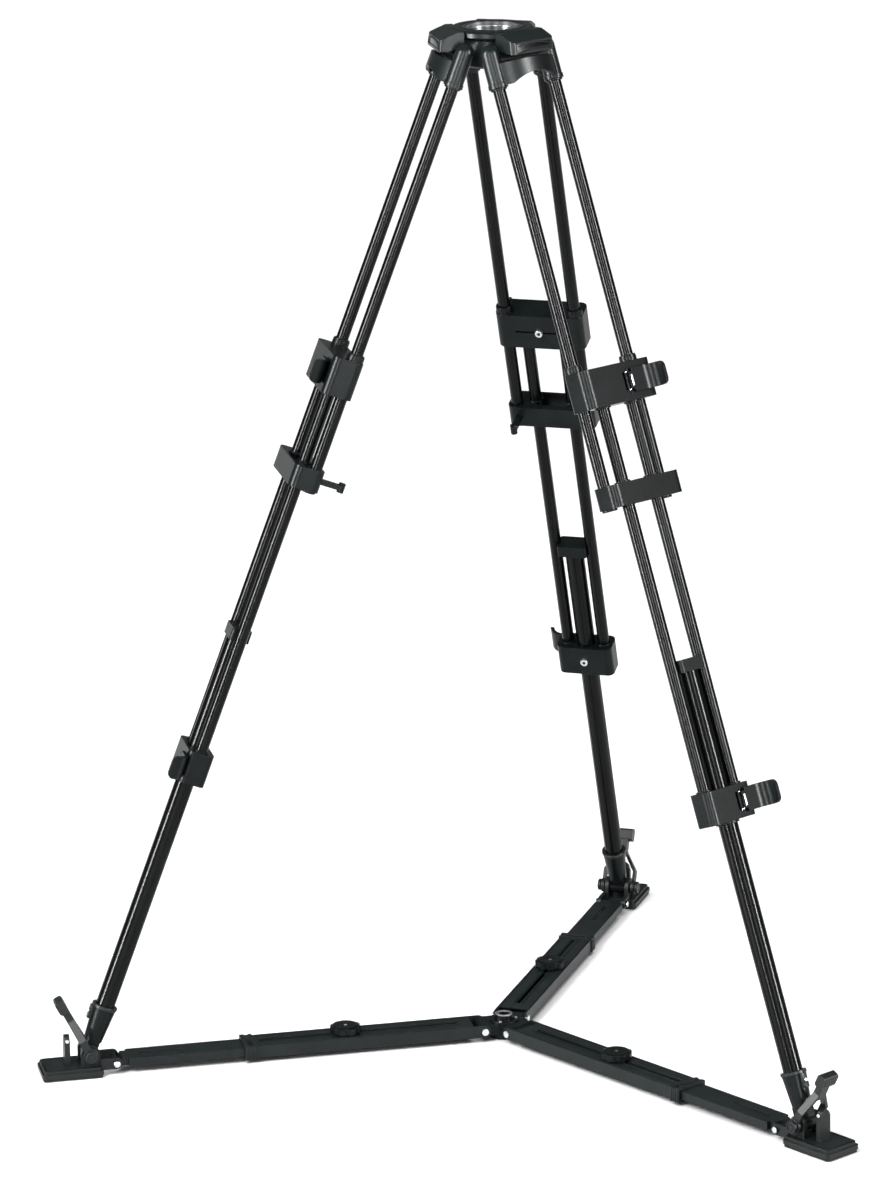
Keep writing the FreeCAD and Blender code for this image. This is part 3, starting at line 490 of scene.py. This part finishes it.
def add_light(name, place, target, size, power):
    """The key lights surfaces and gives no glints; a strip gives glints and lights nothing else."""
    data = bpy.data.lights.new(name, "AREA")
    data.shape = "RECTANGLE"
    data.size, data.size_y = size
    data.energy = power
    lamp = bpy.data.objects.new(name, data)
    lamp.location = place
    lamp.rotation_euler = (Vector(target) - Vector(place)).to_track_quat("-Z", "Y").to_euler()
    lamp.visible_glossy = name.startswith("strip")
    lamp.visible_diffuse = not lamp.visible_glossy
    bpy.context.scene.collection.objects.link(lamp)


def add_sun(strength, spread):
    data = bpy.data.lights.new("overhead", "SUN")
    data.energy = strength
    data.angle = math.radians(spread)
    lamp = bpy.data.objects.new("overhead", data)
    lamp.visible_glossy = False
    bpy.context.scene.collection.objects.link(lamp)


def add_world(strength):
    world = bpy.data.worlds.new("studio")
    world.use_nodes = True
    world.node_tree.nodes["Background"].inputs["Color"].default_value = (1, 1, 1, 1)
    world.node_tree.nodes["Background"].inputs["Strength"].default_value = strength
    bpy.context.scene.world = world


CAMERA_TURN = math.radians(17.27)


def around_object(x, y, z):
    """A place given with the camera looking along +Y, turned to the object's frame."""
    return Matrix.Rotation(CAMERA_TURN, 3, "Z") @ Vector((x, y, z))


def turned_pair(first, second, angle):
    """Turns two square directions together, the first towards the second."""
    cosine, sine = math.cos(angle), math.sin(angle)
    return first * cosine + second * sine, second * cosine - first * sine


def add_camera():
    distance, rise = 7.805, math.radians(15.21)
    yaw, pitch, roll = (math.radians(a) for a in (-0.67, -0.14, -0.68))
    centre = Vector((0, 0, 0.7))
    place = around_object(0, -distance * math.cos(rise), distance * math.sin(rise)) + centre
    ahead = (centre - place).normalized()
    right = ahead.cross(Vector((0, 0, 1))).normalized()
    up = right.cross(ahead)
    ahead, right = turned_pair(ahead, right, yaw)
    ahead, up = turned_pair(ahead, up, pitch)
    right, up = turned_pair(right, up, roll)
    data = bpy.data.cameras.new("camera")
    data.sensor_fit = "HORIZONTAL"
    data.sensor_width = 36.0
    data.lens = 223.97
    data.clip_end = 100.0
    camera = bpy.data.objects.new("camera", data)
    turn = Matrix((right, up, -ahead)).transposed().to_4x4()
    camera.matrix_world = Matrix.Translation(place) @ turn
    bpy.context.scene.collection.objects.link(camera)
    bpy.context.scene.camera = camera


add_floor()
add_world(0.16)
add_sun(2.95, 85.0)
add_light("key", around_object(-2.6, -3.0, 3.6), (0, 0, 0.7), (1.6, 2.4), 260)
add_light("strip_left", around_object(-3.0, -1.6, 1.6), (0, 0, 0.8), (0.24, 3.6), 620)
add_light("strip_front", around_object(-1.3, -4.2, 2.2), (0, 0, 0.8), (0.20, 3.6), 260)
add_light("strip_aside", around_object(1.5, -4.0, 2.0), (0, 0, 0.8), (0.20, 3.6), 260)
add_light("strip_right", around_object(3.3, -1.6, 1.8), (0, 0, 0.8), (0.24, 3.6), 620)
add_camera()

scene = bpy.context.scene
scene.view_settings.view_transform = "Standard"
scene.view_settings.exposure = 0.0
